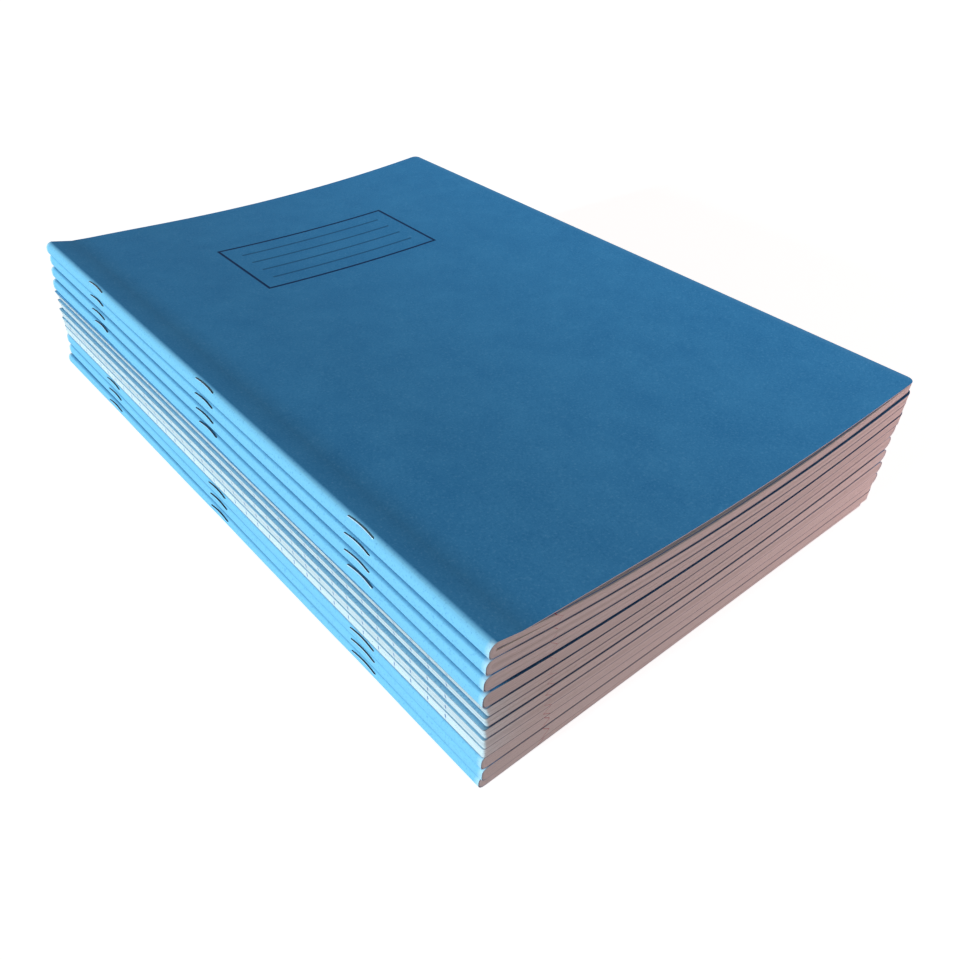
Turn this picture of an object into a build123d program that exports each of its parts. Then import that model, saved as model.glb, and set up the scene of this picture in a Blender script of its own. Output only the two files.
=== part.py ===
# A stack of twelve stapled A4 exercise books, all alike, lying flat.
# Some lie with the spine to the left, and the group in the middle is turned end for end.
# Book 1 is on top and can be opened: its cover and front leaves turn about the fold.
# Sizes are in millimetres. +X runs left to right, +Y from the foot to the head of the
# page, +Z up. The origin is the centre of the face that the bottom book rests on.

import os
from math import cos, radians, sin

from build123d import *

# Page and paper
PAGE_WIDTH = 209.0
PAGE_HEIGHT = 297.0
CORNER_RADIUS = 4.0
SQUARE_CORNER = 0.8
SHEETS = 20
LEAF = 0.08
LEAF_GAP = 0.01
PAGE_AIR = 0.1

# Card cover, folded round the sheets
CARD = 0.25
CARD_FIT = 0.02
COVER_BOW = 2.3

# Wire staples through the fold
WIRE = 0.5
CROWN = 12.5
TIP_GAP = 3.5
STAPLE_SPACING = 93.7
STAPLES = 3
LEG_FIT = 0.04
WIRE_FIT = 0.05
GUTTER_ROOM = 0.48
FOLD_ROLL = 38.0
TOP_FOLD_ROLL = 56.0

# The stack
BOOKS = 12
TURNED_BOOKS = range(5, 10)
STACK_GAP = 0.05
EDGE_LEANS = dict(zip(TURNED_BOOKS, (1.6, 1.1, 0.9, 0.6, 0.3)))
SIDE_SLIPS = (1.0, 0.2, -0.4, -0.9, 0.4, 0.5, 0.0, 0.0, 0.2, -0.4, -0.2, 0.0)
END_SLIPS = (0.6, 0.3, 0.0, -0.5, -0.8, -0.8, -1.1, -1.3, -1.2, -0.9, -1.1, 0.0)

# Sizes that follow from those above
LEAF_PITCH = LEAF + LEAF_GAP
LEAVES_OUTSIDE = CARD + CARD_FIT
LEAVES_INSIDE = LEAVES_OUTSIDE + SHEETS * LEAF_PITCH - LEAF_GAP
GUTTER = WIRE / 2 + GUTTER_ROOM
FOLD_RADIUS = LEAVES_INSIDE + GUTTER
SPINE_THICKNESS = 2 * FOLD_RADIUS
BODY_THICKNESS = 2 * (LEAVES_INSIDE + PAGE_AIR)
PAGE_STATIONS = (FOLD_RADIUS, PAGE_WIDTH / 2, PAGE_WIDTH)
PAGE_THICKNESSES = (SPINE_THICKNESS, BODY_THICKNESS, BODY_THICKNESS)
STACK_STATIONS = (-PAGE_WIDTH / 2, 0.0, PAGE_WIDTH / 2)
STACK_LIMIT = BOOKS * (SPINE_THICKNESS + STACK_GAP)
BEND_RADIUS = WIRE / 2 + WIRE_FIT
CROWN_REACH = FOLD_RADIUS + BEND_RADIUS
CLINCH_REACH = GUTTER - BEND_RADIUS
STAPLE_PLACES = [(i - (STAPLES - 1) / 2) * STAPLE_SPACING for i in range(STAPLES)]
LEG_PLACES = [(y + side * CROWN / 2, 0) for y in STAPLE_PLACES for side in (-1, 1)]
STRAIGHT = 1e-6


def through(stations, heights, place):
    """Height at a place on the smooth sag that passes through three known heights."""
    total = 0.0
    for station, height in zip(stations, heights):
        for other in stations:
            if other != station:
                height *= (place - other) / (station - other)
        total += height
    return total


class Book:
    """One book's place in the stack, and the planes that its pieces are drawn on.

    The section plane's first axis runs from the fold to the fore-edge, and its second is up.
    """

    def __init__(self, number, ground):
        self.name = f"book_{number:02d}"
        self.ground = ground
        self.turned = number in TURNED_BOOKS
        self.way = -1 if self.turned else 1
        self.lean = EDGE_LEANS.get(number, 0.0)
        self.corner = SQUARE_CORNER if self.turned else CORNER_RADIUS
        slip_x = SIDE_SLIPS[(number - 1) % len(SIDE_SLIPS)]
        slip_y = END_SLIPS[(number - 1) % len(END_SLIPS)]
        self.spine_x = slip_x - self.way * PAGE_WIDTH / 2
        self.nose = (FOLD_RADIUS, self.seat(FOLD_RADIUS) + FOLD_RADIUS)
        far_end = (self.spine_x, slip_y + self.way * PAGE_HEIGHT / 2, 0)
        centre = (self.spine_x + self.way * FOLD_RADIUS, slip_y, self.nose[1])
        along = (self.way, 0, 0)
        roll = TOP_FOLD_ROLL if number == 1 else FOLD_ROLL
        self.fold_angle = 180.0 - roll
        out_x = -self.way * cos(radians(roll))
        out_z = sin(radians(roll))
        self.section = Plane(origin=far_end, x_dir=along, z_dir=(0, -self.way, 0))
        self.plan = Plane(origin=(self.spine_x, slip_y, 0), x_dir=along, z_dir=(0, 0, 1))
        self.legs = Plane(origin=centre, x_dir=(0, 1, 0), z_dir=(out_x, 0, out_z))
        self.wire = Plane(origin=centre, x_dir=(0, 1, 0), z_dir=(out_z, 0, -out_x))

    def seat(self, across):
        """Height of what the book lies on, at a distance from its fold."""
        return through(STACK_STATIONS, self.ground, self.spine_x + self.way * across)

    def thickness(self, across):
        """Thickness over the covers, at a distance from the fold."""
        return through(PAGE_STATIONS, PAGE_THICKNESSES, across)

    def over(self, inset, bow=0.0):
        """Three points along the upper side, at a depth below the cover's outer face."""
        reach = PAGE_WIDTH + self.lean * (0.5 - inset / BODY_THICKNESS)
        places = (FOLD_RADIUS, PAGE_WIDTH / 2, reach)
        rises = (0.0, bow, 0.0)
        return [(u, self.seat(u) + self.thickness(u) + rise - inset) for u, rise in zip(places, rises)]

    def under(self, inset):
        """The same along the under side, at a height above the cover's outer face."""
        reach = PAGE_WIDTH - self.lean * (0.5 - inset / BODY_THICKNESS)
        places = (FOLD_RADIUS, PAGE_WIDTH / 2, reach)
        return [(u, self.seat(u) + inset) for u in places]

    def fold_point(self, inset):
        """Where a layer crosses the line that the staple legs take through the fold."""
        radius = FOLD_RADIUS - inset
        across = self.nose[0] + radius * cos(radians(self.fold_angle))
        return across, self.nose[1] + radius * sin(radians(self.fold_angle))

    def next_ground(self):
        """Heights, at the stack's stations, of what the next book up lies on."""
        heights = []
        for place, height in zip(STACK_STATIONS, self.ground):
            across = self.way * (place - self.spine_x)
            heights.append(height + self.thickness(across) + STACK_GAP)
        return heights


def panel(start, middle, end):
    """The gentle sag of a cover or leaf from the fold to the fore-edge."""
    share = (middle[0] - start[0]) / (end[0] - start[0])
    level = start[1] + share * (end[1] - start[1])
    if abs(middle[1] - level) < STRAIGHT:
        Line(start, end)
    else:
        ThreePointArc(start, middle, end)


def outline(book, outside, inside, front, rear, bow):
    """Closed section of a folded layer between two depths, or of one half of it."""
    first = 90.0 if front else book.fold_angle
    last = 270.0 if rear else book.fold_angle
    for inset in (outside, inside):
        CenterArc(book.nose, FOLD_RADIUS - inset, first, last - first)
        if front:
            panel(*book.over(inset, bow))
        if rear:
            panel(*book.under(inset))
    if front:
        Line(book.over(outside)[-1], book.over(inside)[-1])
    if rear:
        Line(book.under(outside)[-1], book.under(inside)[-1])
    if not (front and rear):
        Line(book.fold_point(outside), book.fold_point(inside))


def layer(book, name, outside, inside, front=True, rear=True, bow=0.0):
    """A folded card or paper layer, its fore-edge corners rounded, pierced for the legs."""
    reach = PAGE_WIDTH + book.lean / 2
    with BuildPart() as folded:
        with BuildSketch(book.section):
            with BuildLine():
                outline(book, outside, inside, front, rear, bow)
            make_face()
        extrude(amount=PAGE_HEIGHT)
        with BuildSketch(book.plan):
            with Locations((reach / 2, 0)):
                Rectangle(reach, PAGE_HEIGHT)
            fillet(vertices().group_by(Axis.X)[-1], book.corner)
        extrude(amount=STACK_LIMIT, mode=Mode.INTERSECT)
        with BuildSketch(book.legs):
            with Locations(*LEG_PLACES):
                Circle(WIRE / 2 + LEG_FIT)
        extrude(amount=CROWN_REACH, mode=Mode.SUBTRACT)
    save(folded, f"{book.name}_{name}")


def staples(book):
    """The book's wire staples: crown outside the fold, legs through it, tips bent inwards."""
    with BuildPart() as wires:
        for place in STAPLE_PLACES:
            tip = TIP_GAP / 2
            leg = CROWN / 2
            corners = [
                (place - tip, CLINCH_REACH),
                (place - leg, CLINCH_REACH),
                (place - leg, CROWN_REACH),
                (place + leg, CROWN_REACH),
                (place + leg, CLINCH_REACH),
                (place + tip, CLINCH_REACH),
            ]
            with BuildLine(book.wire) as path:
                FilletPolyline(*corners, radius=BEND_RADIUS)
            with BuildSketch(Plane(origin=path.line @ 0, z_dir=path.line % 0)) as round_wire:
                Circle(WIRE / 2)
            sweep(sections=round_wire.sketch, path=path.line)
    save(wires, f"{book.name}_staples")


def save(piece, name):
    """Label a finished piece and write it to its own file."""
    piece.part.label = name
    export_step(piece.part, f"parts/{name}.step")


def closed_book(book):
    """A book that stays shut under the weight of the others."""
    layer(book, "cover", 0.0, CARD)
    layer(book, "leaves", LEAVES_OUTSIDE, LEAVES_INSIDE)
    staples(book)


def opening_book(book):
    """The top book, parted at the fold so that its cover and front leaves can turn."""
    layer(book, "front_cover", 0.0, CARD, rear=False, bow=COVER_BOW)
    layer(book, "rear_cover", 0.0, CARD, front=False)
    for number in range(1, SHEETS + 1):
        depth = LEAVES_OUTSIDE + (number - 1) * LEAF_PITCH
        layer(book, f"leaf_{number:02d}", depth, depth + LEAF, rear=False)
    layer(book, "rear_leaves", LEAVES_OUTSIDE, LEAVES_INSIDE, front=False)
    staples(book)


def stack_of_books():
    """Every book from the bottom up, each lying on the sag of the one below."""
    ground = [0.0, 0.0, 0.0]
    books = []
    for number in range(BOOKS, 0, -1):
        books.append(Book(number, ground))
        ground = books[-1].next_ground()
    return books


os.makedirs("parts", exist_ok=True)
*lower_books, top_book = stack_of_books()
for lower_book in lower_books:
    closed_book(lower_book)
opening_book(top_book)
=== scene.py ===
# %% [markdown]
# This lesson dresses a stack of twelve stapled exercise books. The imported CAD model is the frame: it says
# where every book lies and how the top one opens. Each piece made here takes the place of one of its nodes.
# Everything could be drawn straight in Blender, but then nothing would move with the joints of the frame.

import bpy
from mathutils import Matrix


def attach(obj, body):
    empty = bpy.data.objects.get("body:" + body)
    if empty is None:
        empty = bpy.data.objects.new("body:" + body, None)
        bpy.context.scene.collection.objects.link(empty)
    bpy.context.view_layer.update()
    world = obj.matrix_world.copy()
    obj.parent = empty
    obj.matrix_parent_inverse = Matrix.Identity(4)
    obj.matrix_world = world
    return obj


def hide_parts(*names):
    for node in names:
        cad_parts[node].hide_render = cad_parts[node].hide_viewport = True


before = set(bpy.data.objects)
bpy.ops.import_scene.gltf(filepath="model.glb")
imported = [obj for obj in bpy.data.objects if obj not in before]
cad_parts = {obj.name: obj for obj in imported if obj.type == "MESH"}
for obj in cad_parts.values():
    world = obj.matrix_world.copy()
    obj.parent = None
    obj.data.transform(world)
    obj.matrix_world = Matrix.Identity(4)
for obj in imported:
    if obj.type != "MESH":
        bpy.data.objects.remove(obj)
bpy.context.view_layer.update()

# %% [markdown]
# Meshes are built with bmesh, Blender's mesh editor for scripts. It has the tools of edit mode, but needs no
# window and no selection, so the lesson runs the same way every time.

# %% Modules
import math
import random

import bmesh
import bpy
from mathutils import Matrix, Vector

print("Blender", bpy.app.version_string)

# %% [markdown]
# The books are alike, so a few sizes describe them all. They are the sizes that the frame was drawn with,
# in millimetres, because paper is thin: a leaf is eight hundredths of one. Only the corners of the top book
# are a little sharper. A gutter inside the innermost fold leaves room for the staple tips, so a book is
# thicker there. Every mesh is shaped in millimetres and brought to metres in one step at its end.

# %% Sizes of one book
PAGE_WIDTH = 209.0
PAGE_HEIGHT = 297.0
CORNER_RADIUS = 4.0
TOP_CORNER = 3.0
SQUARE_CORNER = 0.8
SHEETS = 20
LEAF = 0.08
LEAF_GAP = 0.01
LEAF_PITCH = LEAF + LEAF_GAP
CARD = 0.25
CARD_FIT = 0.02
LEAVES_OUTSIDE = CARD + CARD_FIT
LEAVES_INSIDE = LEAVES_OUTSIDE + SHEETS * LEAF_PITCH - LEAF_GAP
GUTTER = 0.73
PAGE_AIR = 0.1
FOLD_RADIUS = LEAVES_INSIDE + GUTTER
SPINE_THICKNESS = 2 * FOLD_RADIUS
BODY_THICKNESS = 2 * (LEAVES_INSIDE + PAGE_AIR)
TOP_FOLD_ROLL = math.radians(56)
METRES = 0.001
thicknesses = [round(size, 2) for size in (SPINE_THICKNESS, BODY_THICKNESS)]
print("a book is", thicknesses, "mm thick, at the fold and elsewhere")

# %% [markdown]
# In the photo the folds lie a little out of line, and most books lie slightly askew. The fore-edges on the
# right were knocked up level, so some books reach up to two millimetres further than others, and the turned
# ones stop short there. Random slips would be quicker to write, but measured ones match the photo.

# %% How the books lie
BOOKS = 12
TURNED_BOOKS = range(5, 10)
STACK_GAP = 0.05
EDGE_LEANS = dict(zip(TURNED_BOOKS, (1.6, 1.1, 0.9, 0.6, 0.3)))
SIDE_SLIPS = (1.0, 0.2, -0.4, -0.9, 0.4, 0.5, 0.0, 0.0, 0.2, 0.0, 0.4, 0.7)
END_SLIPS = (0.6, 0.3, 0.0, -0.5, -0.8, -0.8, -1.1, -1.3, -1.2, -0.9, -1.1, 0.0)
LEFT_SKEWS = (0.0, 0.15, 0.1, 0.0, 0.0, 0.0, 0.0, 0.0, 0.0, 0.0, 0.0, 0.2)
RIGHT_SKEWS = (0.0, -0.6, -0.3, 0.0, 0.75, 0.75, 0.75, 0.75, 0.75, 0.8, 0.9, 1.2)
HEAD_SKEWS = (0.6, 1.7, 1.6, 1.2, 0.0, 0.0, 0.0, 0.0, 0.0, 0.1, -0.6, -2.0)
TURNED_INSET = 2.4
FORE_EDGE = PAGE_WIDTH / 2 + SIDE_SLIPS[0]
print("books turned end for end:", list(TURNED_BOOKS), "of", BOOKS)

# %% [markdown]
# Folds are thicker than the rest of a book, so a pile with its spines on two sides sags in the middle. The
# sag under each book is a smooth curve through three heights. It could be a lattice or a curve modifier,
# but a small function keeps all the pieces of a book on the same curve, however thin they are.

# %% The sag of the pile
STACK_STATIONS = (-PAGE_WIDTH / 2, 0.0, PAGE_WIDTH / 2)
PAGE_STATIONS = (FOLD_RADIUS, PAGE_WIDTH / 2, PAGE_WIDTH)


def through(stations, heights, place):
    """Height at a place on the smooth curve through three known heights."""
    total = 0.0
    for station, height in zip(stations, heights):
        for other in stations:
            if other != station:
                height *= (place - other) / (station - other)
        total += height
    return total


class Book:
    """Where one book lies: which way round, how far slipped, and the sag under it."""

    def __init__(self, number, ground):
        self.number = number
        self.name = f"book_{number:02d}"
        self.ground = ground
        self.turned = number in TURNED_BOOKS
        self.way = -1 if self.turned else 1
        self.lean = EDGE_LEANS.get(number, 0.0)
        self.inset = TURNED_INSET if self.turned else 0.0
        self.corner = TOP_CORNER if number == 1 else CORNER_RADIUS
        if self.turned:
            self.corner = SQUARE_CORNER
        self.spine_x = SIDE_SLIPS[number - 1] - self.way * PAGE_WIDTH / 2
        self.middle_y = END_SLIPS[number - 1]
        self.left_skew = LEFT_SKEWS[number - 1]
        self.right_skew = RIGHT_SKEWS[number - 1]
        self.head_skew = HEAD_SKEWS[number - 1]
        self.stretch = 0.0 if self.turned else FORE_EDGE - self.spine_x - PAGE_WIDTH
        self.nose_z = self.seat(FOLD_RADIUS) + FOLD_RADIUS

    def seat(self, across):
        """Height under the book at a distance from its fold."""
        return through(STACK_STATIONS, self.ground, self.spine_x + self.way * across)

    def thickness(self, across):
        """Thickness over the covers at a distance from the fold."""
        heights = (SPINE_THICKNESS, BODY_THICKNESS, BODY_THICKNESS)
        return through(PAGE_STATIONS, heights, across)

    def askew(self, x, y):
        """Where a point of a straight book goes, with the book's slips at left, right and head."""
        rightward = x / PAGE_WIDTH + 0.5
        headward = y / PAGE_HEIGHT + 0.5
        slip = self.middle_y + self.left_skew * (1 - rightward) + self.right_skew * rightward
        return x + self.head_skew * headward, y + slip

    def next_ground(self):
        """The three heights that the next book up lies on."""
        places = [self.way * (x - self.spine_x) for x in STACK_STATIONS]
        return [h + self.thickness(u) + STACK_GAP for h, u in zip(self.ground, places)]


books = {}
ground = [0.0, 0.0, 0.0]
for number in range(BOOKS, 0, -1):
    books[number] = Book(number, ground)
    ground = books[number].next_ground()
print("the pile is", [round(h, 2) for h in ground], "mm high at its left, middle and right")

# %% [markdown]
# A cover or a sheet is made as in the bindery: cut flat with rounded corners, then folded in half. The flat
# sheet starts as a one-face grid. Bevelling its corner points rounds them, bisecting adds lines across
# which it can bend, and extruding gives the thickness. A swept profile would be shorter, but a flat sheet
# knows where its print goes.

# %% Cutting a flat sheet
def cut_flat(width, thickness, corner, bends, strips, corner_steps):
    """A flat sheet, its outer face up, with rounded corners and lines to bend along."""
    bm = bmesh.new()
    bmesh.ops.create_grid(bm, x_segments=1, y_segments=1, size=0.5)
    bmesh.ops.scale(bm, vec=(width, PAGE_HEIGHT, 1), verts=bm.verts)
    bmesh.ops.bevel(
        bm, geom=bm.verts[:], offset=corner, offset_type="OFFSET", segments=corner_steps,
        profile=0.5, affect="VERTICES", material=-1,
    )
    for place in bends:
        geom = bm.verts[:] + bm.edges[:] + bm.faces[:]
        bmesh.ops.bisect_plane(bm, geom=geom, plane_co=(place, 0, 0), plane_no=(1, 0, 0))
    for place in strips:
        geom = bm.verts[:] + bm.edges[:] + bm.faces[:]
        bmesh.ops.bisect_plane(bm, geom=geom, plane_co=(0, place, 0), plane_no=(0, 1, 0))
    return thicken(bm, thickness)


def thicken(bm, thickness):
    """Extrude the flat sheet downwards, so that it has two faces and a cut edge."""
    pushed = bmesh.ops.extrude_face_region(bm, geom=bm.faces[:])["geom"]
    moved = [e for e in pushed if isinstance(e, bmesh.types.BMVert)]
    bmesh.ops.translate(bm, vec=(0, 0, -thickness), verts=moved)
    bmesh.ops.recalc_face_normals(bm, faces=bm.faces)
    return bm


trial = cut_flat(PAGE_WIDTH, CARD, CORNER_RADIUS, bends=[0.0], strips=[0.0], corner_steps=4)
print("a trial card has", len(trial.verts), "points and", len(trial.faces), "faces")
trial.free()

# %% [markdown]
# The weight of the pile presses the folds, so a spine is squarer than half a pipe. A rounded square, the
# kind of oval that Blender's bevel profile also draws, is a circle whose radius grows towards the
# diagonals. Every layer and the staples grow alike, so nested sheets stay nested. The turned books and the
# outer shoulders of the top and bottom ones were pressed less.

# %% How square a pressed fold is
SQUARENESS, ROUNDNESS = 3.4, 2.2


def pressed(book, turn):
    """How much further than a round fold the pressed one reaches, at an angle about it."""
    free = book.turned or (book.number == 1 and turn > 0) or (book.number == BOOKS and turn < 0)
    power = ROUNDNESS if free else SQUARENESS
    corner = abs(math.cos(turn)) ** power + abs(math.sin(turn)) ** power
    return corner ** (-1 / power)


for number in (1, 2):
    bulge = FOLD_RADIUS * (pressed(books[number], math.pi / 4) - 1)
    print("on its upper diagonal the fold of book", number, "bulges by", round(bulge, 2), "mm")

# %% [markdown]
# Inside a shut book the sheets spread until they fill the room between the covers, and only a thin line
# shows where the middle spread opens. The spread is one factor on the depth of a sheet, so the order of the
# sheets never changes. In the top book the sheets lie closer, and the staple tips keep their room at the
# fold.

# %% How far the sheets spread
SPREAD_GAP = 0.05
TOP_SPREAD = 1.15
TOP_CLOSING = 0.25
CLOSING_WIDTH = 40.0


def spread(book, across):
    """Factor on the depth of the sheets at a distance from the fold."""
    if book.number == 1:
        return TOP_SPREAD - TOP_CLOSING * min(1.0, max(0.0, across - FOLD_RADIUS) / CLOSING_WIDTH)
    room = book.thickness(max(across, FOLD_RADIUS)) / 2 - SPREAD_GAP
    return (room - LEAVES_OUTSIDE) / (LEAVES_INSIDE - LEAVES_OUTSIDE)


def spread_depth(book, depth, across):
    """Depth of a point of a sheet after the sheets have spread. The cover keeps its own."""
    if depth < LEAVES_OUTSIDE:
        return depth
    return LEAVES_OUTSIDE + (depth - LEAVES_OUTSIDE) * spread(book, across)


for number in (1, 2):
    factors = [round(spread(books[number], place), 3) for place in (0.0, PAGE_WIDTH)]
    print("sheets of book", number, "spread by", factors, "at the fold and the fore-edge")

# %% [markdown]
# Folding bends the middle of the flat sheet round the nose of the spine and lets the two halves lie on the
# sag. A Simple Deform modifier could bend it, but twenty nested sheets must not touch, so each point is
# placed by its own distance along the sheet and its depth under the outer face of the book.

# %% Folding it and laying it in the pile
def page_reach(book, depth, front):
    """How far the fore-edge leans out at a depth, in a book whose pages have slid."""
    lean = book.lean * (0.5 - depth / BODY_THICKNESS)
    return lean if front else -lean


def fold_place(book, along, depth, outside):
    """Distance from the fold and height of a point that lies so far along the flat sheet."""
    radius = FOLD_RADIUS - outside
    quarter = radius * math.pi / 2
    front = along > 0
    if abs(along) <= quarter:
        turn = along / radius
        inner = (FOLD_RADIUS - spread_depth(book, depth, 0.0)) * pressed(book, turn)
        return FOLD_RADIUS - inner * math.cos(turn), book.nose_z + inner * math.sin(turn)
    across = FOLD_RADIUS + abs(along) - quarter
    share = (across - FOLD_RADIUS) / (PAGE_WIDTH - FOLD_RADIUS)
    across += share * page_reach(book, depth, front)
    depth = spread_depth(book, depth, across)
    if not front:
        return across, book.seat(across) + depth
    return across, book.seat(across) + book.thickness(across) - depth


def lay(bm, book, outside, slip=(0.0, 0.0), rise=None, bulge=None):
    """Fold a flat sheet and put it in its place in the pile."""
    for v in bm.verts:
        along, up_page, below = v.co
        across, height = fold_place(book, along, outside - below, outside)
        if rise and along > 0:
            height += rise(across)
        share = across / PAGE_WIDTH
        stray = (slip[0] + book.stretch) * share + book.inset * (1 - share)
        if bulge:
            stray -= bulge(book, across, up_page)
        place = book.askew(book.spine_x + book.way * (across + stray), book.way * (up_page + slip[1]))
        v.co = (*place, height)
    bmesh.ops.recalc_face_normals(bm, faces=bm.faces)


def bend_lines(outside, panel_steps, nose_steps):
    """Where a flat sheet bends: evenly over each panel, and round the nose."""
    radius = FOLD_RADIUS - outside
    quarter = radius * math.pi / 2
    panel = PAGE_WIDTH - FOLD_RADIUS
    nose = [quarter * (2 * i / nose_steps - 1) for i in range(nose_steps + 1)]
    steps = [quarter + panel * i / panel_steps for i in range(1, panel_steps)]
    return [-place for place in steps] + nose + steps


def flat_width(outside):
    """Width of the flat sheet that reaches both fore-edges when it is folded."""
    return 2 * (PAGE_WIDTH - FOLD_RADIUS) + math.pi * (FOLD_RADIUS - outside)


print("a cover is", round(flat_width(0.0), 1), "mm wide before it is folded")

# %% [markdown]
# The finish has to know the flat place of each point, so it is written to a UV map while the sheet is still
# flat, and print stays put when the sheet bends. A page is measured from its own left edge, as the ruling
# machine does, so the margin falls at the fold on one side of a leaf and at the fore-edge on the other.

# %% Marking the flat place, and turning a bmesh into a piece
FACE_OUT, FACE_IN, FACE_EDGE = 0, 1, 2
FACING = 0.5
UV_CENTRE = 0.25
SHARP_EDGE = math.radians(40)


def mark_flat(bm, pages=False):
    """Write each corner's flat place to the UV map, in metres, and sort the faces by side."""
    bm.normal_update()
    layer = bm.loops.layers.uv.new("flat_place")
    for face in bm.faces:
        side = face.normal.z
        face.material_index = FACE_OUT if side > FACING else FACE_IN if side < -FACING else FACE_EDGE
        for loop in face.loops:
            along, up_page = loop.vert.co.x, loop.vert.co.y
            if pages and face.material_index == FACE_IN:
                along = PAGE_WIDTH - abs(along)
            elif pages:
                along = abs(along)
            start = 0.0 if pages else UV_CENTRE
            loop[layer].uv = (start + along * METRES, up_page * METRES + UV_CENTRE)


def finish_piece(bm, name, body, nodes, materials):
    """Bring the mesh to metres, set its shading and materials, and let it ride on a body."""
    bmesh.ops.scale(bm, vec=(METRES,) * 3, verts=bm.verts)
    for face in bm.faces:
        face.smooth = True
    for edge in bm.edges:
        edge.smooth = len(edge.link_faces) == 2 and edge.calc_face_angle() < SHARP_EDGE
    mesh = bpy.data.meshes.new(name)
    bm.to_mesh(mesh)
    bm.free()
    for material in materials:
        mesh.materials.append(material)
    piece = bpy.data.objects.new(name, mesh)
    bpy.context.scene.collection.objects.link(piece)
    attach(piece, body)
    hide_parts(*nodes)


print("materials of a piece: outer face", FACE_OUT, "inner face", FACE_IN, "cut edge", FACE_EDGE)

# %% [markdown]
# Finishes come next. Card, the card's inside and paper are all felted fibre, so one node group gives their
# cloudy tone and tooth. Blender could do this with an image, but noise stays sharp at any distance.

# %% A node group for paper fibre
def add_node(tree, kind, inputs=(), **settings):
    """Add a node, set its options, and set or link its inputs."""
    node = tree.nodes.new(kind)
    for key, value in settings.items():
        setattr(node, key, value)
    for socket, value in dict(inputs).items():
        if isinstance(value, bpy.types.NodeSocket):
            tree.links.new(value, node.inputs[socket])
        else:
            node.inputs[socket].default_value = value
    return node


def math_node(tree, operation, *values):
    """One step of arithmetic, on numbers or sockets."""
    return add_node(tree, "ShaderNodeMath", dict(enumerate(values)), operation=operation).outputs[0]


def new_group(name, inputs, outputs):
    """An empty node group with named sockets."""
    group = bpy.data.node_groups.new(name, "ShaderNodeTree")
    for socket, kind in inputs:
        group.interface.new_socket(socket, in_out="INPUT", socket_type=kind)
    for socket, kind in outputs:
        group.interface.new_socket(socket, in_out="OUTPUT", socket_type=kind)
    return group, group.nodes.new("NodeGroupInput"), group.nodes.new("NodeGroupOutput")


VECTOR, FLOAT = "NodeSocketVector", "NodeSocketFloat"
paper_fibre, fibre_in, fibre_out = new_group(
    "paper_fibre", [("Place", VECTOR), ("Fineness", FLOAT)], [("Cloud", FLOAT), ("Tooth", FLOAT)]
)
place, fineness = fibre_in.outputs["Place"], fibre_in.outputs["Fineness"]
cloud = add_node(
    paper_fibre, "ShaderNodeTexNoise", {"Vector": place, "Scale": 60.0, "Detail": 6.0, "Roughness": 0.72}
)
tooth = add_node(
    paper_fibre, "ShaderNodeTexNoise", {"Vector": place, "Scale": fineness, "Detail": 3.0, "Roughness": 0.7}
)
paper_fibre.links.new(cloud.outputs["Fac"], fibre_out.inputs["Cloud"])
paper_fibre.links.new(tooth.outputs["Fac"], fibre_out.inputs["Tooth"])
print("node group:", paper_fibre.name)

# %% [markdown]
# Ruled lines, the margin and the box on the cover are all thin printed lines. Each is a mask: full in the
# core of the line, and gone at its rim. One group serves them all.

# %% A node group for a printed line
LINE_CORE, LINE_RIM = 0.35, 0.65
printed_line, line_in, line_out = new_group(
    "printed_line", [("Distance", FLOAT), ("Width", FLOAT)], [("Ink", FLOAT)]
)
core = math_node(printed_line, "MULTIPLY", line_in.outputs["Width"], LINE_CORE)
rim = math_node(printed_line, "MULTIPLY", line_in.outputs["Width"], LINE_RIM)
ink = add_node(
    printed_line, "ShaderNodeMapRange",
    {"Value": line_in.outputs["Distance"], "From Min": core, "From Max": rim, "To Min": 1.0, "To Max": 0.0},
)
printed_line.links.new(ink.outputs[0], line_out.inputs["Ink"])
print("node group:", printed_line.name)

# %% [markdown]
# A finish is a chain of small steps: a place, a distance, a ramp, a mix of colours. Written out node by node
# such a chain is long and hard to read, so each kind of step is a short function. Colours are given as in a
# paint program.

# %% Small steps for the finishes
MIX_SHARE, MIX_FIRST, MIX_SECOND, MIX_RESULT = 0, 6, 7, 2


def linear(red, green, blue):
    """A colour given as in a paint program, turned to the linear values that nodes take."""
    parts = [c / 255 for c in (red, green, blue)]
    parts = [c / 12.92 if c <= 0.04045 else ((c + 0.055) / 1.055) ** 2.4 for c in parts]
    return (*parts, 1.0)


def new_finish(name, **plain):
    """A material with a Principled shader, whose plain values are set on its own sockets."""
    material = bpy.data.materials.new(name)
    material.use_nodes = True
    shader = material.node_tree.nodes["Principled BSDF"]
    for socket, value in plain.items():
        shader.inputs[socket.replace("_", " ")].default_value = value
    return material, material.node_tree, shader


def mixed(tree, share, first, second):
    """Colour mixed from two by a share."""
    sockets = {MIX_SHARE: share, MIX_FIRST: first, MIX_SECOND: second}
    return add_node(tree, "ShaderNodeMix", sockets, data_type="RGBA").outputs[MIX_RESULT]


def layered(tree, tone, *layers):
    """A tone with other colours laid over it, each by its own share."""
    for share, colour in layers:
        tone = mixed(tree, share, tone, colour)
    return tone


def times(tree, first, *others):
    """Product of several values."""
    for value in others:
        first = math_node(tree, "MULTIPLY", first, value)
    return first


def ramp(tree, value, start, end):
    """A value taken from one range to another, and held at its ends."""
    names = ("From Min", "From Max", "To Min", "To Max")
    sockets = {"Value": value, **dict(zip(names, (*start, *end)))}
    return add_node(tree, "ShaderNodeMapRange", sockets).outputs[0]


def gap_from(tree, value, middle):
    """Distance of a value from a middle one."""
    return math_node(tree, "ABSOLUTE", math_node(tree, "SUBTRACT", value, middle))


print("middle grey is", round(linear(128, 128, 128)[0], 3), "in linear light")

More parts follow.
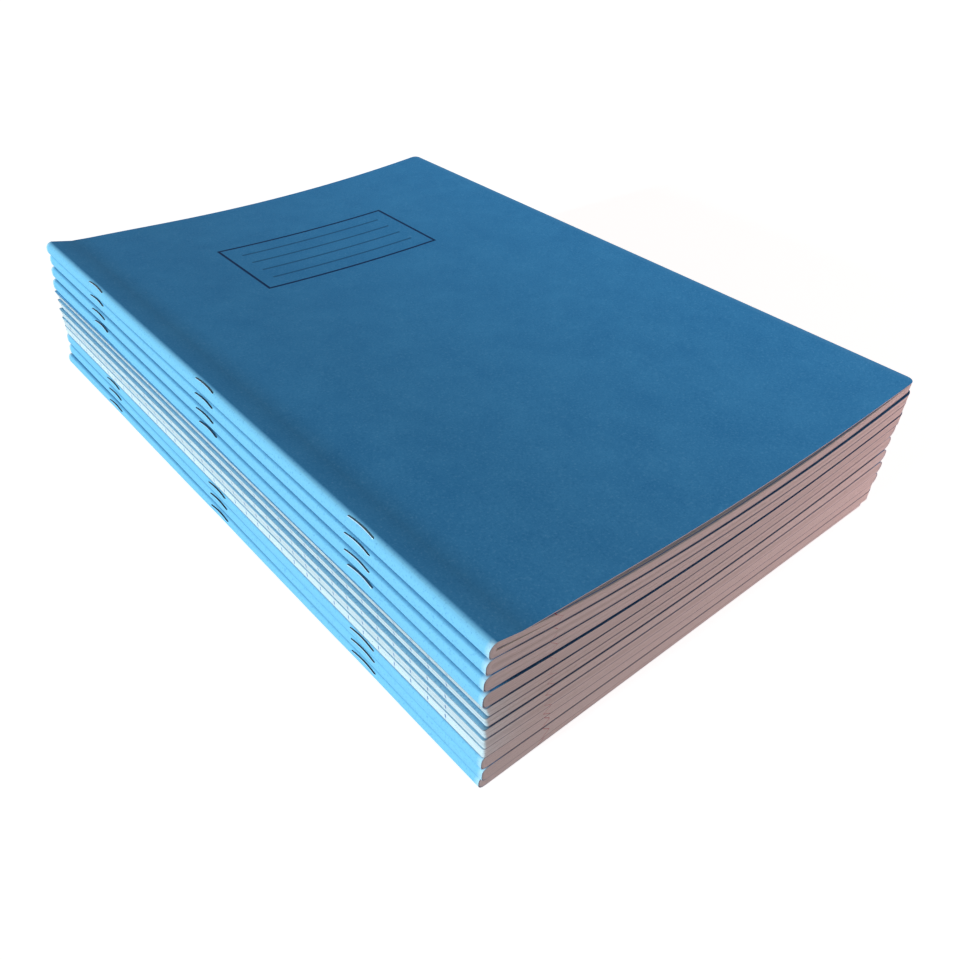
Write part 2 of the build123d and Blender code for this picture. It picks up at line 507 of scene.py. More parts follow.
# %% [markdown]
# The remaining steps read what the meshes carry: the flat place in the UV map, values on the points, and the
# object's own coordinates for the fibre. They could be baked to images, but nodes read them directly.

# %% Steps that read the mesh
def fibre(tree, fineness):
    """Cloud and tooth of the paper fibre, on the piece's own object coordinates."""
    place = add_node(tree, "ShaderNodeTexCoord").outputs["Object"]
    sockets = {"Place": place, "Fineness": fineness}
    node = add_node(tree, "ShaderNodeGroup", sockets, node_tree=paper_fibre)
    return node.outputs["Cloud"], node.outputs["Tooth"]


def flat_place(tree, start):
    """A point's flat place: millimetres along from a start in the UV map, and up from mid height."""
    uv = add_node(tree, "ShaderNodeUVMap", uv_map="flat_place").outputs[0]
    parts = add_node(tree, "ShaderNodeSeparateXYZ", {0: uv}).outputs
    along = math_node(tree, "MULTIPLY", parts[0], 1 / METRES)
    up_page = math_node(tree, "MULTIPLY", parts[1], 1 / METRES)
    along = math_node(tree, "SUBTRACT", along, start / METRES)
    return along, math_node(tree, "SUBTRACT", up_page, UV_CENTRE / METRES)


def line_ink(tree, distance, width):
    """Ink of a printed line at a distance from its middle."""
    sockets = {"Distance": distance, "Width": width}
    return add_node(tree, "ShaderNodeGroup", sockets, node_tree=printed_line).outputs["Ink"]


def point_value(tree, name):
    """A value kept on the points of the mesh."""
    return add_node(tree, "ShaderNodeAttribute", attribute_name=name).outputs["Fac"]


def tooth_bump(tree, shader, height, depth, strength):
    """Fine relief from a height, of a depth in millimetres, in the shader's normal."""
    sockets = {"Height": height, "Distance": depth * METRES, "Strength": strength}
    bump = add_node(tree, "ShaderNodeBump", sockets)
    tree.links.new(bump.outputs[0], shader.inputs["Normal"])


print("node groups in use:", [group.name for group in bpy.data.node_groups])

# %% [markdown]
# The cover is blue card, dyed through, with a dull sheen. A box with four lines for writing on is printed on
# the front, a little askew. It could be a decal on a small plane, but a mask in the card's own finish can't
# come loose: the box is the distance to a rectangle, and the lines repeat at an even pitch inside it.

# %% Blue card with a printed box
CARD_FINENESS = 1300.0
BOX_CENTRE = (107.2, 81.6)
BOX_HALF = (44.3, 22.35)
BOX_TILT = 0.0147
BOX_LINES = 4
LINE_PITCH = BOX_HALF[1] * 2 / (BOX_LINES + 1)
BORDER_WIDTH, LINE_WIDTH = 1.25, 1.2
LINE_INK = 0.55
LINE_INDENT = (7.0, 3.0)
card_blue, tree, shader = new_finish("card_blue", Specular_IOR_Level=0.07)
cloud, tooth = fibre(tree, CARD_FINENESS)
along, up_page = flat_place(tree, UV_CENTRE)
from_middle = math_node(tree, "SUBTRACT", along, BOX_CENTRE[0])
up_box = math_node(tree, "MULTIPLY_ADD", from_middle, BOX_TILT, up_page)
side_gap = math_node(tree, "ABSOLUTE", from_middle)
end_gap = gap_from(tree, up_box, BOX_CENTRE[1])
side_over = math_node(tree, "SUBTRACT", side_gap, BOX_HALF[0])
end_over = math_node(tree, "SUBTRACT", end_gap, BOX_HALF[1])
box_gap = math_node(tree, "ABSOLUTE", math_node(tree, "MAXIMUM", side_over, end_over))
border = line_ink(tree, box_gap, BORDER_WIDTH)
row = math_node(tree, "SUBTRACT", up_box, BOX_CENTRE[1] - BOX_HALF[1])
rows = line_ink(tree, math_node(tree, "PINGPONG", row, LINE_PITCH / 2), LINE_WIDTH)
in_length = math_node(tree, "LESS_THAN", side_gap, BOX_HALF[0] - LINE_INDENT[0])
in_height = math_node(tree, "LESS_THAN", end_gap, BOX_HALF[1] - LINE_INDENT[1])
box_ink = math_node(tree, "MAXIMUM", border, times(tree, rows, in_length, in_height, LINE_INK))
print("printed box:", [2 * h for h in BOX_HALF], "mm, lines every", round(LINE_PITCH, 2), "mm")

# %% [markdown]
# Card wears where it is bent and handled, and some light and shade is painted into it. It is paler where the
# fold is stretched, a tone that is also a painted sheen of the lit spine, and at the scuffed ends of the
# spine, with a painted highlight there. Its fore-edge rim is a little paler from wear, and on the turned
# books paler still, as painted light on the ledges that face the window. Painted shade darkens the creases
# between the spines and the ledges at head and foot. Each share is taken by distance, in millimetres, from
# the fold, the page's end or the rim, and its colour is laid over those before it.

# %% Colour, wear and painted light and shade of the card
FOLD_STRETCH_AND_SHEEN = (3.0, 4.4)
CREASE_START, CREASE_END = (2.0, 3.2), (4.5, 6.0)
LEDGE_DEPTH, SCUFF_GLINT_DEPTH = (0.8, 2.0), (0.4, 2.0)
FOLD_CLEAR = (5.0, 12.0)
RIM_WEAR_AND_LIGHT = (0.2, 2.8)
RIM_GRAIN = (0.3, 0.6)
SPECKLES, PITS = (0.54, 0.72), (0.28, 0.46)
CARD_ROUGHNESS = (0.6, 0.75)
shade_side = point_value(tree, "painted_shade_side")
fold_gap = math_node(tree, "ABSOLUTE", along)
page_end = math_node(tree, "SUBTRACT", PAGE_HEIGHT / 2, math_node(tree, "ABSOLUTE", up_page))
rim_gap = math_node(tree, "SUBTRACT", flat_width(0.0) / 2, fold_gap)
# The paler fold is partly the card's stretch and partly painted sheen of the lit spine.
stretch = ramp(tree, fold_gap, FOLD_STRETCH_AND_SHEEN, (0.95, 0.0))
# Painted shade in the creases between the spines, on the side that the points mark.
crease_shade = times(tree, ramp(tree, fold_gap, CREASE_START, (0.0, 0.7)), shade_side)
crease_shade = times(tree, crease_shade, ramp(tree, fold_gap, CREASE_END, (1.0, 0.0)))
# Painted shade on the ledges at head and foot, clear of the fold.
ledge_shade = times(tree, ramp(tree, page_end, LEDGE_DEPTH, (0.8, 0.0)), shade_side)
ledge_shade = times(tree, ledge_shade, ramp(tree, fold_gap, FOLD_CLEAR, (0.0, 1.0)))
# Paler scuffed ends of the spine, with a painted highlight on them.
scuff_and_glint = times(tree, ramp(tree, page_end, SCUFF_GLINT_DEPTH, (0.8, 0.0)), stretch)
# A paler fore-edge rim: slight wear on most books, and painted light on the ledges of the turned books,
# which face the window.
rim_wear_and_light = times(tree, ramp(tree, rim_gap, RIM_WEAR_AND_LIGHT, (1.0, 0.0)), point_value(tree, "edge_wear_and_light"))
rim_wear_and_light = times(tree, rim_wear_and_light, ramp(tree, tooth, RIM_GRAIN, (0.75, 1.0)))
tone = layered(
    tree,
    mixed(tree, cloud, linear(49, 130, 185), linear(85, 164, 214)),
    (stretch, linear(146, 203, 228)),
    (crease_shade, linear(30, 92, 140)),
    (ledge_shade, linear(10, 22, 52)),
    (scuff_and_glint, linear(214, 230, 236)),
    (rim_wear_and_light, linear(168, 214, 236)),
    (ramp(tree, tooth, SPECKLES, (0.0, 0.36)), linear(130, 192, 228)),
    (ramp(tree, tooth, PITS, (0.36, 0.0)), linear(34, 106, 164)),
    (box_ink, linear(5, 46, 88)),
)
tree.links.new(tone, shader.inputs["Base Color"])
tree.links.new(ramp(tree, cloud, (0.0, 1.0), CARD_ROUGHNESS), shader.inputs["Roughness"])
tooth_bump(tree, shader, tooth, depth=0.06, strength=0.35)
print("finish:", card_blue.name, "with", len(tree.nodes), "nodes")

# %% [markdown]
# The inside of the cover is the same card without the dull coating, a little paler and rougher. Its cut
# edge is pale where it was trimmed last, and dark with painted shade where two covers lie together between
# the books. How much painted shade is kept on the points of each cover. Both could share the outer finish,
# but a book that opens shows both.

# %% Inside and cut edge of the card
INSIDE_FINENESS, EDGE_FINENESS = 2200.0, 3000.0
EDGE_SCUFF = (3.0, 8.0)
card_inside, tree, shader = new_finish("card_inside", Roughness=0.85)
cloud, tooth = fibre(tree, INSIDE_FINENESS)
tone = mixed(tree, cloud, linear(112, 170, 212), linear(134, 188, 224))
tree.links.new(tone, shader.inputs["Base Color"])
tooth_bump(tree, shader, tooth, depth=0.08, strength=0.4)
card_edge, tree, shader = new_finish("card_edge", Roughness=0.9)
_, tooth = fibre(tree, EDGE_FINENESS)
along, _ = flat_place(tree, UV_CENTRE)
fold_gap = math_node(tree, "ABSOLUTE", along)
# Painted shade on the cut edge where two covers lie together between the books, kept clear of the fold.
edge_shade = times(tree, point_value(tree, "painted_edge_shade"), ramp(tree, fold_gap, FOLD_CLEAR, (0.0, 1.0)))
trimmed = ramp(tree, fold_gap, EDGE_SCUFF, (0.0, 1.0))
pale = mixed(tree, trimmed, linear(196, 206, 216), linear(240, 232, 230))
edge_shade_tone = mixed(tree, tooth, linear(10, 20, 48), linear(20, 38, 80))
tree.links.new(mixed(tree, edge_shade, pale, edge_shade_tone), shader.inputs["Base Color"])
print("finishes:", card_inside.name, card_edge.name)

# %% [markdown]
# Pages are off-white writing paper with feint blue lines every eight millimetres and a red margin. The
# lines run out to the fore-edge, which is why the edge of the pages shows a row of little ticks. An image of
# a page would blur such thin lines. Drawn from the flat place they stay sharp, and they follow the page
# round the fold and when it turns.

# %% Ruled paper
PAPER_FINENESS = 3200.0
FEINT = 8.0
HEAD_ROOM = 20.4
MARGIN = 25.0
FEINT_WIDTH, MARGIN_WIDTH = 0.3, 0.35


def ruling(tree):
    """Place along the page, distance to the nearest feint line, and one where the page is ruled."""
    along, up_page = flat_place(tree, 0.0)
    down = math_node(tree, "SUBTRACT", PAGE_HEIGHT / 2 - HEAD_ROOM, up_page)
    feint_gap = math_node(tree, "PINGPONG", down, FEINT / 2)
    feint_gap = math_node(tree, "SUBTRACT", FEINT / 2, feint_gap)
    ruled = math_node(tree, "GREATER_THAN", down, -FEINT)
    return along, feint_gap, ruled


page_ruled, tree, shader = new_finish("page_ruled", Roughness=0.88, Specular_IOR_Level=0.2)
cloud, tooth = fibre(tree, PAPER_FINENESS)
along, feint_gap, ruled = ruling(tree)
tone = layered(
    tree,
    mixed(tree, cloud, linear(228, 222, 212), linear(240, 235, 226)),
    (times(tree, line_ink(tree, feint_gap, FEINT_WIDTH), ruled), linear(120, 158, 205)),
    (line_ink(tree, gap_from(tree, along, MARGIN), MARGIN_WIDTH), linear(206, 92, 98)),
)
tree.links.new(tone, shader.inputs["Base Color"])
tooth_bump(tree, shader, tooth, depth=0.05, strength=0.3)
print("finish:", page_ruled.name, "with a line every", FEINT, "mm")

# %% [markdown]
# The trimmed edges of the leaves are a finish of their own. A striped texture could draw them, but its
# stripes would slide over the sheets. So each leaf keeps its own slight tone in a point attribute, shared in
# part by a few neighbours, which gives the streaks of a paper block. The ends of the ruled lines show as
# blue ticks at the fore-edge, most of all on the inner sheets, and those of the margins as red ticks at head
# and foot.

# %% Trimmed paper edges
TICK_WIDTH, RED_TICK_WIDTH = 0.5, 0.45
RED_TICK_TONES = (0.4, 0.8)
FORE_EDGE_RIM = 2.0
page_edge, tree, shader = new_finish("page_edge", Roughness=0.92, Specular_IOR_Level=0.1)
along, feint_gap, ruled = ruling(tree)
leaf_tone = point_value(tree, "leaf_tone")
at_fore_edge = math_node(tree, "GREATER_THAN", along, PAGE_WIDTH - FORE_EDGE_RIM)
tick = times(tree, line_ink(tree, feint_gap, TICK_WIDTH), ruled, at_fore_edge)
tick = times(tree, tick, point_value(tree, "leaf_ticks"))
margin_place = ramp(tree, point_value(tree, "leaf_turned"), (0.0, 1.0), (MARGIN, PAGE_WIDTH - MARGIN))
red_tick = line_ink(tree, gap_from(tree, along, margin_place), RED_TICK_WIDTH)
red_tick = times(tree, red_tick, ramp(tree, leaf_tone, RED_TICK_TONES, (0.0, 0.6)))
tone = layered(
    tree,
    mixed(tree, leaf_tone, linear(214, 204, 202), linear(255, 250, 248)),
    (tick, linear(48, 96, 164)),
    (red_tick, linear(190, 70, 84)),
)
tree.links.new(tone, shader.inputs["Base Color"])
print("finish:", page_edge.name)

# %% [markdown]
# Staple wire is drawn and galvanised steel, with dull patches. The lower side of each crown is painted
# bright and bluish, a painted highlight and a painted reflection of the blue card, most of all near the
# foot, and the upper side is painted nearly black, a painted shadow where the wire lies against the card.
# One plain metal would look new. How far round the wire a point lies is kept on the points of the mesh, so
# the two tones meet in a line along the crown.

# %% Staple wire
WIRE_FINENESS = 900.0
WIRE_LIGHT_LINE = (0.2, 0.4)
WIRE_ROUGHNESS = (0.3, 0.5)
staple_steel, tree, shader = new_finish("staple_steel", Metallic=1.0)
cloud, tooth = fibre(tree, WIRE_FINENESS)
# Painted highlight and reflection of the blue card on the lower side, painted shadow on the upper side.
painted_gleam = mixed(tree, cloud, linear(172, 206, 232), linear(206, 230, 246))
lit_share = ramp(tree, point_value(tree, "wire_painted_light"), WIRE_LIGHT_LINE, (0.0, 1.0))
tree.links.new(mixed(tree, lit_share, linear(26, 30, 36), painted_gleam), shader.inputs["Base Color"])
tree.links.new(ramp(tree, tooth, (0.0, 1.0), WIRE_ROUGHNESS), shader.inputs["Roughness"])
print("finish:", staple_steel.name)

# %% [markdown]
# Now the covers. Each lower book has one folded card. The staples hold the fold in, and between them the
# card bulges out by a fraction of a millimetre, which a straight extrusion would miss. Points on the card
# also keep how pale its fore-edge rim is, from wear and painted light, whether painted shade falls on it,
# and how much painted shade its cut edge has, for the finishes to read. Two covers that lie together have
# edges with the same painted shade.

# %% Covers of the lower books
CARD_FINISHES = (card_blue, card_inside, card_edge)
CARD_PANEL_STEPS = 24
CARD_NOSE_STEPS = 16
CARD_CORNER_STEPS = 8
CARD_STRIP_COUNT = 36
CARD_STRIPS = [PAGE_HEIGHT * (i / CARD_STRIP_COUNT - 0.5) for i in range(1, CARD_STRIP_COUNT)]
STAPLE_SPACING = 93.7
STAPLE_STEPS = (-1, 0, 1)
FOLD_BULGE = 0.22
BULGE_STEADY, BULGE_SWING, BULGE_PHASE = 0.7, 0.3, 5.0
HELD_WIDTH = 16.0
# How pale the fore-edge rim is: wear on most books, and painted light on the ledges of the turned ones.
EDGE_WEAR, TURNED_LEDGE_LIGHT = 0.15, 1.0
# Painted shade on the cut edges, one value for each place where covers lie together, from the top to the
# floor.
EDGE_SHADES = (0.0, 0.6, 0.4, 1.0, 0.85, 0.75, 0.75, 0.4, 0.4, 0.8, 0.35, 0.35, 0.35)


def fold_bulge(book, across, up_page):
    """How far the fold stands out between its staples."""
    staple_gap = min(abs(up_page - step * STAPLE_SPACING) for step in STAPLE_STEPS)
    held = math.exp(-((staple_gap / HELD_WIDTH) ** 2))
    near_fold = max(0.0, 1 - across / (2 * FOLD_RADIUS))
    size = FOLD_BULGE * (BULGE_STEADY + BULGE_SWING * math.sin(BULGE_PHASE * book.number))
    return size * (1 - held) * near_fold


def flat_card(book):
    """A cover cut flat, with its flat place, its rim wear and painted light, and its painted shade marked.
    """
    bends = bend_lines(0.0, CARD_PANEL_STEPS, CARD_NOSE_STEPS)
    bm = cut_flat(flat_width(0.0), CARD, book.corner, bends, CARD_STRIPS, CARD_CORNER_STEPS)
    mark_flat(bm)
    rim_wear_and_light = bm.verts.layers.float.new("edge_wear_and_light")
    edge_shade = bm.verts.layers.float.new("painted_edge_shade")
    crease_shade = bm.verts.layers.float.new("painted_shade_side")
    for v in bm.verts:
        front = v.co.x > 0
        # The upper side of each lower cover takes painted shade in its crease and on its ledges.
        v[crease_shade] = 1.0 if front and book.number > 1 else 0.0
        # Rim wear, and on the turned books painted light on their ledges.
        v[rim_wear_and_light] = TURNED_LEDGE_LIGHT if book.turned else EDGE_WEAR
        # Painted shade on the cut edge, the same for two covers that lie together.
        v[edge_shade] = EDGE_SHADES[book.number - 1 if front else book.number]
    return bm


for book in books.values():
    if book.number > 1:
        card = flat_card(book)
        lay(card, book, 0.0, bulge=fold_bulge)
        nodes = [f"{book.name}_cover"]
        finish_piece(card, f"{book.name}_card", book.name, nodes, CARD_FINISHES)
print("covers of the lower books:", BOOKS - 1)

# %% [markdown]
# The top book opens, so its cover is two pieces that meet at the fold line under the staples: the front
# turns and the rear stays. It could bend on bones, but the frame moves rigid bodies, so the flat card is
# bisected at that line before it is folded. The front dips beside the fold and is bowed beyond it, as the
# photo shows: its foot edge stands clear of the pages in the middle.

# %% Cover of the top book, in two halves
COVER_BOW = 2.4
EDGE_DROOP = 0.45
SHOULDER_DIP = 1.0
SHOULDER_WIDTH = 9.0
top = books[1]


def cover_rise(across):
    """Height of the top cover over an even sag: up in the middle, down beside the fold and at the rim."""
    if across <= FOLD_RADIUS:
        return 0.0
    share = (across - FOLD_RADIUS) / SHOULDER_WIDTH
    dip = SHOULDER_DIP * share * math.exp(1 - share)
    return through(PAGE_STATIONS, (0.0, COVER_BOW, -EDGE_DROOP), across) - dip


def keep_half(bm, outside, front):
    """Cut a flat sheet at the fold line and keep one half of it, closed at the cut."""
    line = (FOLD_RADIUS - outside) * TOP_FOLD_ROLL
    geom = bm.verts[:] + bm.edges[:] + bm.faces[:]
    bmesh.ops.bisect_plane(
        bm, geom=geom, plane_co=(line, 0, 0), plane_no=(1, 0, 0), clear_inner=front, clear_outer=not front
    )
    cut = [e for e in bm.edges if e.is_boundary]
    bmesh.ops.holes_fill(bm, edges=cut)
    return bm


front_card = keep_half(flat_card(top), 0.0, True)
lay(front_card, top, 0.0, rise=cover_rise, bulge=fold_bulge)
finish_piece(
    front_card, "book_01_front_card", "front_cover", ["book_01_front_cover"], CARD_FINISHES
)
rear_card = keep_half(flat_card(top), 0.0, False)
lay(rear_card, top, 0.0, bulge=fold_bulge)
finish_piece(rear_card, "book_01_rear_card", "book_01", ["book_01_rear_cover"], CARD_FINISHES)
print("top cover: front and rear")

# %% [markdown]
# Twenty sheets lie nested in each cover. They could be one block with stripes painted on it, but real
# sheets shift a little against each other and their edges catch light and shade, so every sheet is its own
# thin solid. Each has only about a hundred faces, because there are two hundred and forty of them.

# %% Sheets of the lower books
LEAF_FINISHES = (page_ruled, page_ruled, page_edge)
LEAF_PANEL_STEPS = 10
LEAF_NOSE_STEPS = 8
LEAF_CORNER_STEPS = 3
BUNDLE = 4
BUNDLE_TONES, LEAF_TONES = 0.18, 0.12
INNER_SHEET = 12
INNER_TICKS, OUTER_TICKS = 0.75, 0.06
SLIP_BACK, SLIP_ALONG = 0.03, 0.02
PAPER_TONES = (0.6, 0.55, 0.55, 0.5, 0.55, 0.55, 0.65, 0.7, 0.8, 0.75, 0.85, 0.95)
SHUFFLE_SEED = 12
shuffle = random.Random(SHUFFLE_SEED)


def leaf_depth(sheet):
    """Depth of a sheet's outer face under the outer face of the cover."""
    return LEAVES_OUTSIDE + sheet * LEAF_PITCH


def flat_leaf(book, sheet, value):
    """One sheet cut flat, with its flat place, its own tone and how strong its ticks are marked."""
    outside = leaf_depth(sheet)
    bends = bend_lines(outside, LEAF_PANEL_STEPS, LEAF_NOSE_STEPS)
    bm = cut_flat(flat_width(outside), LEAF, book.corner, bends, (), LEAF_CORNER_STEPS)
    mark_flat(bm, pages=True)
    tone = bm.verts.layers.float.new("leaf_tone")
    ticks = bm.verts.layers.float.new("leaf_ticks")
    turned = bm.verts.layers.float.new("leaf_turned")
    for v in bm.verts:
        v[tone] = value
        v[ticks] = INNER_TICKS if sheet >= INNER_SHEET else OUTER_TICKS
        v[turned] = 1.0 if book.turned else 0.0
    return bm


def leaf_slip():
    """How far a sheet has slid towards the fore-edge, and along the fold."""
    return shuffle.uniform(-SLIP_BACK, 0.0), shuffle.uniform(-SLIP_ALONG, SLIP_ALONG)


def gather(sheets):
    """Put several meshes into one bmesh."""
    whole = bmesh.new()
    for bm in sheets:
        part = bpy.data.meshes.new("sheet")
        bm.to_mesh(part)
        bm.free()
        whole.from_mesh(part)
        bpy.data.meshes.remove(part)
    return whole


def laid_sheets(book, half=None, rise=None):
    """All the sheets of a book, or their front or rear halves, folded and in place."""
    sheets = []
    bundles = [shuffle.uniform(-BUNDLE_TONES, BUNDLE_TONES) for _ in range(SHEETS // BUNDLE)]
    for sheet in range(SHEETS):
        tone = PAPER_TONES[book.number - 1] + bundles[sheet // BUNDLE]
        tone += shuffle.uniform(-LEAF_TONES, LEAF_TONES)
        bm = flat_leaf(book, sheet, tone)
        if half is not None:
            keep_half(bm, leaf_depth(sheet), half)
        lay(bm, book, leaf_depth(sheet), slip=leaf_slip(), rise=rise)
        sheets.append(bm)
    return sheets


for book in books.values():
    if book.number > 1:
        block = gather(laid_sheets(book))
        nodes = [f"{book.name}_leaves"]
        finish_piece(block, f"{book.name}_sheets", book.name, nodes, LEAF_FINISHES)
print("sheets in the lower books:", SHEETS * (BOOKS - 1))

# %% [markdown]
# In the top book the front leaves are separate pieces that turn. One block would be simpler, but it could
# not fan out when the cover opens. With no weight on them the leaves still sink on to the rear ones a few
# millimetres from the fold, and the cover above them does not, which leaves a dark gap.

# %% Leaves of the top book
SINK_WIDTH = 1.5


def leaf_sink(across):
    """How far the front leaves of the top book sink towards the rear ones."""
    if across <= FOLD_RADIUS:
        return 0.0
    room = top.thickness(across) - 2 * spread_depth(top, LEAVES_INSIDE, across) - SPREAD_GAP
    return -room * (1 - math.exp((FOLD_RADIUS - across) / SINK_WIDTH))


for sheet, leaf in enumerate(laid_sheets(top, True, leaf_sink), 1):
    nodes = [f"book_01_leaf_{sheet:02d}"]
    finish_piece(leaf, f"book_01_page_{sheet:02d}", f"leaf_{sheet:02d}", nodes, LEAF_FINISHES)
rear_block = gather(laid_sheets(top, False))
finish_piece(
    rear_block, "book_01_rear_pages", "book_01", ["book_01_rear_leaves"], LEAF_FINISHES
)
print("turning leaves of the top book:", SHEETS)

# %% [markdown]
# A staple is one length of wire: a crown outside the fold, two legs through it and two tips bent over
# inside. A curve with a round bevel could draw it, but its bends would not keep a known radius. So a ring of
# points is carried along the wire: extruded on the straights and spun round the bends. Half of it is made
# here, and mirrored later.

# %% One staple
WIRE = 0.42
WIRE_FIT = 0.03
CROWN = 12.5
TIP_GAP = 3.5
BEND = WIRE / 2 + WIRE_FIT
CROWN_REACH = FOLD_RADIUS + BEND
CLINCH_REACH = 0.24
WIRE_SIDES = 10
BEND_STEPS = 4
CROWN_STEPS = 6


def push(bm, ring, vector):
    """Extrude the ring along a straight, and return the new ring."""
    edges = [e for e in ring if isinstance(e, bmesh.types.BMEdge)]
    geom = bmesh.ops.extrude_edge_only(bm, edges=edges)["geom"]
    points = [v for v in geom if isinstance(v, bmesh.types.BMVert)]
    bmesh.ops.translate(bm, vec=vector, verts=points)
    pushed = [e for e in geom if isinstance(e, bmesh.types.BMEdge)]
    return [e for e in pushed if all(v in points for v in e.verts)] + points


def bend(bm, ring, centre):
    """Spin the ring a quarter turn about a centre, and return the new ring."""
    spun = bmesh.ops.spin(
        bm, geom=ring, cent=centre, axis=(0, 1, 0), angle=math.pi / 2, steps=BEND_STEPS, use_merge=False
    )
    return [e for e in spun["geom_last"] if not isinstance(e, bmesh.types.BMFace)]


def half_staple():
    """Half a staple: X along the fold, Z out of it, its middle at X = 0."""
    bm = bmesh.new()
    leg = CROWN / 2
    tip = Matrix.Translation((-TIP_GAP / 2, 0, CLINCH_REACH)) @ Matrix.Rotation(math.pi / 2, 4, "Y")
    bmesh.ops.create_circle(bm, cap_ends=True, segments=WIRE_SIDES, radius=WIRE / 2, matrix=tip)
    ring = bm.verts[:] + bm.edges[:]
    ring = push(bm, ring, (-(leg - BEND - TIP_GAP / 2), 0, 0))
    ring = bend(bm, ring, (-leg + BEND, 0, CLINCH_REACH + BEND))
    ring = push(bm, ring, (0, 0, CROWN_REACH - CLINCH_REACH - 2 * BEND))
    ring = bend(bm, ring, (-leg + BEND, 0, CROWN_REACH - BEND))
    for _ in range(CROWN_STEPS):
        ring = push(bm, ring, ((leg - BEND) / CROWN_STEPS, 0, 0))
    return bm


trial = half_staple()
low = Vector([min(v.co[i] for v in trial.verts) for i in range(3)])
high = Vector([max(v.co[i] for v in trial.verts) for i in range(3)])
print("half a staple, in mm:", [round(c, 2) for c in low], [round(c, 2) for c in high])
trial.free()

# %% [markdown]
# Three staples go through each fold, at angles about it and places along it that differ a little from book
# to book. They could be copies of one mesh, but the folds are pressed differently. So their points are
# placed about the nose of each fold as those of the sheets are, and the legs stay in the fold. The crown is
# bowed, because the fold bulges between the legs.

# %% Staples of every book
CROWN_BOW = math.radians(8)
CROWN_ENDS = {1: 49, 2: 34, 3: 30, 4: 43}
LOW_CROWN_END = 27
STAPLE_SLIPS = {1: 1.6, 2: 2.0, 3: 1.8, 4: 0.8, 10: 2.0, 11: 2.4, 12: 1.0}
# How far the painted shadow side of each staple reaches: least near the foot.
WIRE_SHADE_SHIFT = dict(zip(STAPLE_STEPS, (0.1, 0.4, 0.4)))
MERGE_DISTANCE = 0.001


def staple_row(book):
    """Three staples in the fold of a book."""
    end_turn = math.radians(CROWN_ENDS.get(book.number, LOW_CROWN_END))
    bow = TOP_FOLD_ROLL - end_turn if book is top else CROWN_BOW
    row = []
    for step in STAPLE_STEPS:
        bm = half_staple()
        geom = bm.verts[:] + bm.edges[:] + bm.faces[:]
        bmesh.ops.mirror(bm, geom=geom, axis="X", merge_dist=MERGE_DISTANCE)
        wire_light = bm.verts.layers.float.new("wire_painted_light")
        for v in bm.verts:
            along, side, reach = v.co
            # Painted highlight on the lower side of the wire and painted shadow on its upper side.
            v[wire_light] = 0.5 - side / WIRE - WIRE_SHADE_SHIFT[step]
            turn = end_turn + side / max(reach, WIRE)
            if reach > FOLD_RADIUS:
                turn += bow * max(0.0, 1 - (2 * along / CROWN) ** 2)
            reach *= pressed(book, turn)
            x = book.spine_x + book.way * (book.inset + FOLD_RADIUS - reach * math.cos(turn))
            y = STAPLE_SLIPS.get(book.number, 0.0) + step * STAPLE_SPACING + along
            v.co = (*book.askew(x, y), book.nose_z + reach * math.sin(turn))
        bmesh.ops.recalc_face_normals(bm, faces=bm.faces)
        row.append(bm)
    return gather(row)


for book in books.values():
    nodes = [f"{book.name}_staples"]
    finish_piece(staple_row(book), f"{book.name}_wire", book.name, nodes, (staple_steel,))
print("staples:", len(STAPLE_STEPS) * BOOKS)

# %% [markdown]
# The stage is a white floor that goes on to the horizon. A white world alone would take no shadow. The floor
# is lit as the books are, so it keeps theirs, and a little glow that only the camera, gloss and glass see
# lifts it to white.

# %% Floor and world
FLOOR_SIZE = 6.0
FLOOR_STEPS = 8
FLOOR_DROP = 0.0002
FLOOR_TONE = (0.4, 0.33, 0.31, 1)
WHITE = (1, 1, 1, 1)
FLOOR_GLOW = 0.875
AMBIENT = 0.205


def seen_directly(tree):
    """One where a ray comes from the camera or a mirror-like surface, else zero."""
    path = add_node(tree, "ShaderNodeLightPath").outputs
    glossy = math_node(tree, "MAXIMUM", path["Is Glossy Ray"], path["Is Transmission Ray"])
    return math_node(tree, "MAXIMUM", path["Is Camera Ray"], glossy)


floor_grid = bmesh.new()
bmesh.ops.create_grid(floor_grid, x_segments=FLOOR_STEPS, y_segments=FLOOR_STEPS, size=FLOOR_SIZE)
floor_mesh = bpy.data.meshes.new("floor")
floor_grid.to_mesh(floor_mesh)
floor_grid.free()
floor = bpy.data.objects.new("floor", floor_mesh)
floor.location.z = -FLOOR_DROP
bpy.context.scene.collection.objects.link(floor)
floor_white, tree, shader = new_finish(
    "floor_white", Roughness=0.9, Base_Color=FLOOR_TONE, Emission_Color=WHITE
)
glow = math_node(tree, "MULTIPLY", seen_directly(tree), FLOOR_GLOW)
tree.links.new(glow, shader.inputs["Emission Strength"])
floor_mesh.materials.append(floor_white)
world = bpy.data.worlds.new("studio")
bpy.context.scene.world = world
world.use_nodes = True
tree = world.node_tree
background = tree.nodes["Background"]
background.inputs["Color"].default_value = WHITE
strength = math_node(tree, "MULTIPLY_ADD", seen_directly(tree), 1 - AMBIENT, AMBIENT)
tree.links.new(strength, background.inputs["Strength"])
print("floor and world ready")
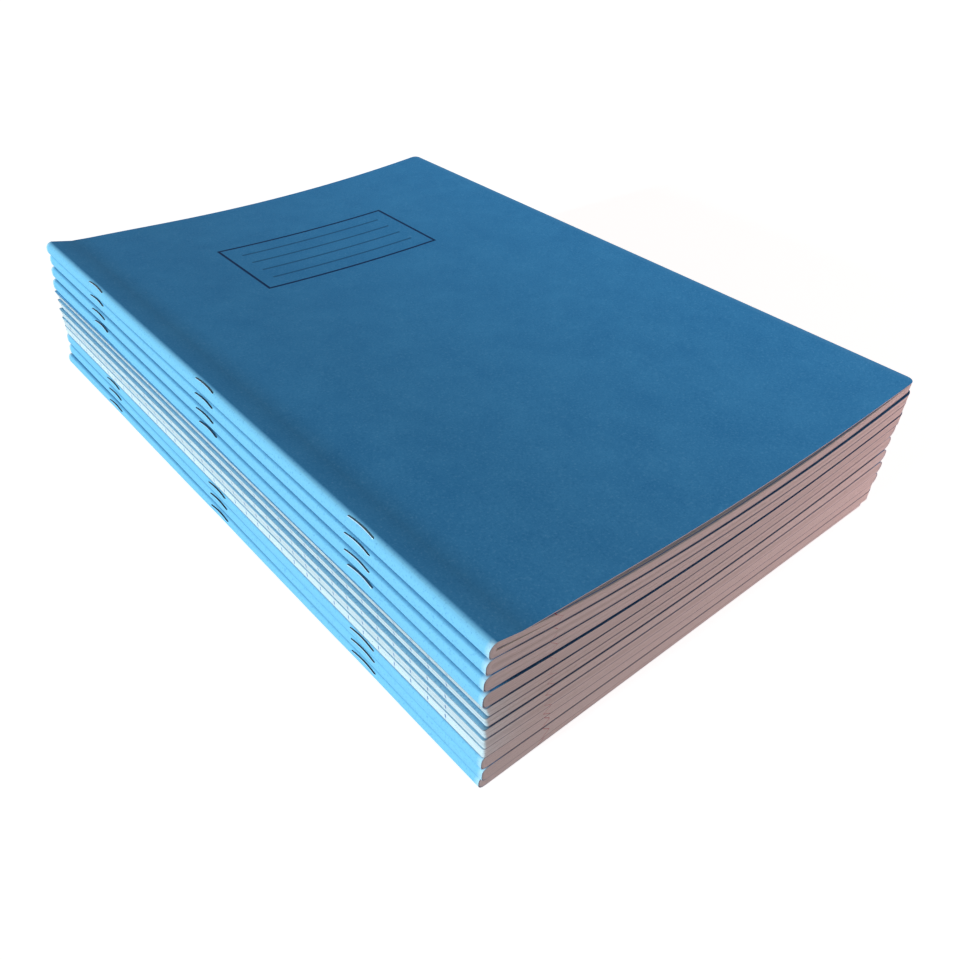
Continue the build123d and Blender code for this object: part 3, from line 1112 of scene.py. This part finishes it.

# %% [markdown]
# A broad cool light stands low on the left, as a window does: it makes the spines bright and only grazes
# the top. It is a sun lamp with a narrow angle, which casts crisp shadows, and whose strength is easy to
# set:
# pi times the brightness wanted on a surface that faces it. A small warm lamp near the right end lights the
# foot, and fades towards the left.

# %% Lights
WINDOW_SIDE = (-0.97, 0.02, 0.235)
WINDOW_LEVEL = 1.22
WINDOW_COLOUR = (0.51, 0.8, 0.95)
WINDOW_ANGLE = math.radians(6)
LAMP_PLACE = (0.42, -0.42, 0.1)
LAMP_SIDE = (0.37, -0.27, 0.07)
LAMP_ENERGY = 1.38
LAMP_COLOUR = (1.0, 0.59, 0.59)
LAMP_SIZE = 0.25


def add_light(name, kind, energy, colour, side):
    """A lamp of a kind that shines from one side, and the object that holds it."""
    lamp = bpy.data.lights.new(name, kind)
    lamp.energy = energy
    lamp.color = colour
    light = bpy.data.objects.new(name, lamp)
    light.rotation_euler = Vector(side).to_track_quat("Z", "Y").to_euler()
    bpy.context.scene.collection.objects.link(light)
    return lamp, light


window, _ = add_light("window_left", "SUN", math.pi * WINDOW_LEVEL, WINDOW_COLOUR, WINDOW_SIDE)
window.angle = WINDOW_ANGLE
lamp, warm_right = add_light("warm_right", "AREA", LAMP_ENERGY, LAMP_COLOUR, LAMP_SIDE)
lamp.size = LAMP_SIZE
warm_right.location = LAMP_PLACE
warm_right.visible_camera = False

# %% [markdown]
# The camera stands where the photographer stood, above the near corner of the pile. Its place, direction
# and lens were worked out from the corners of the covers in the photo. A small shift moves the picture
# without turning the camera.

# %% Camera
CAMERA_PLACE = (-0.20969, -0.25241, 0.23068)
LOOK_RIGHT = Vector((0.7737192, -0.6331421, 0.022128))
LOOK_UP = Vector((0.3775777, 0.4888957, 0.7863943))
LOOK_BACK = Vector((-0.5087176, -0.6000933, 0.6173284))
SENSOR_WIDTH = 36.0
LENS = 33.784
LENS_SHIFT = (0.0415, -0.0049)
NEAREST = 0.01
camera_data = bpy.data.cameras.new("photo_camera")
camera_data.sensor_width = SENSOR_WIDTH
camera_data.lens = LENS
camera_data.shift_x, camera_data.shift_y = LENS_SHIFT
camera_data.clip_start = NEAREST
camera = bpy.data.objects.new("photo_camera", camera_data)
axes = Matrix((LOOK_RIGHT, LOOK_UP, LOOK_BACK)).transposed()
camera.matrix_world = Matrix.Translation(CAMERA_PLACE) @ axes.to_4x4()
bpy.context.scene.collection.objects.link(camera)
bpy.context.scene.camera = camera
bpy.context.scene.view_settings.view_transform = "Standard"
print("camera at", CAMERA_PLACE)
